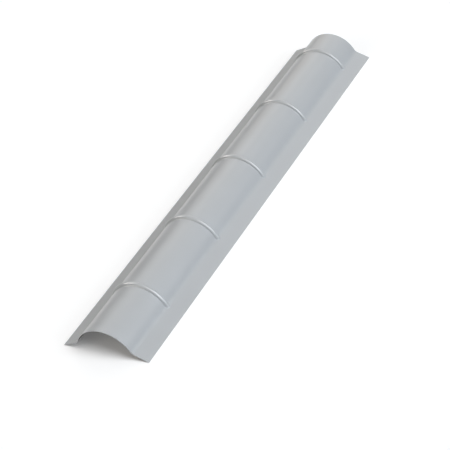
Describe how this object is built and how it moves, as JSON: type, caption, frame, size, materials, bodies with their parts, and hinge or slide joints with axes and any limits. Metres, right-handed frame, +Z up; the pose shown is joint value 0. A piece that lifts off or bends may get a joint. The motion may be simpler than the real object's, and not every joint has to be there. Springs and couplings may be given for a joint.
{
  "type": "roof ridge cap",
  "caption": "Half-round sheet metal ridge cap with sloping side flanges and stiffening beads pressed across its crest, laid along the top of a pitched sheet metal roof.",
  "frame": {"origin": "on the floor, midway between the two flange edges and between the two ends", "axes": "+Y along the ridge towards the lapped end, which has the shorter plain stretch before its first bead; +X across the ridge; +Z up"},
  "size_m": [0.3468, 2, 0.1084],
  "materials": {
    "coated_sheet": "light grey coated steel sheet, satin"
  },
  "bodies": {
    "root": {"ridge_cap": "coated_sheet"}
  },
  "joints": []
}
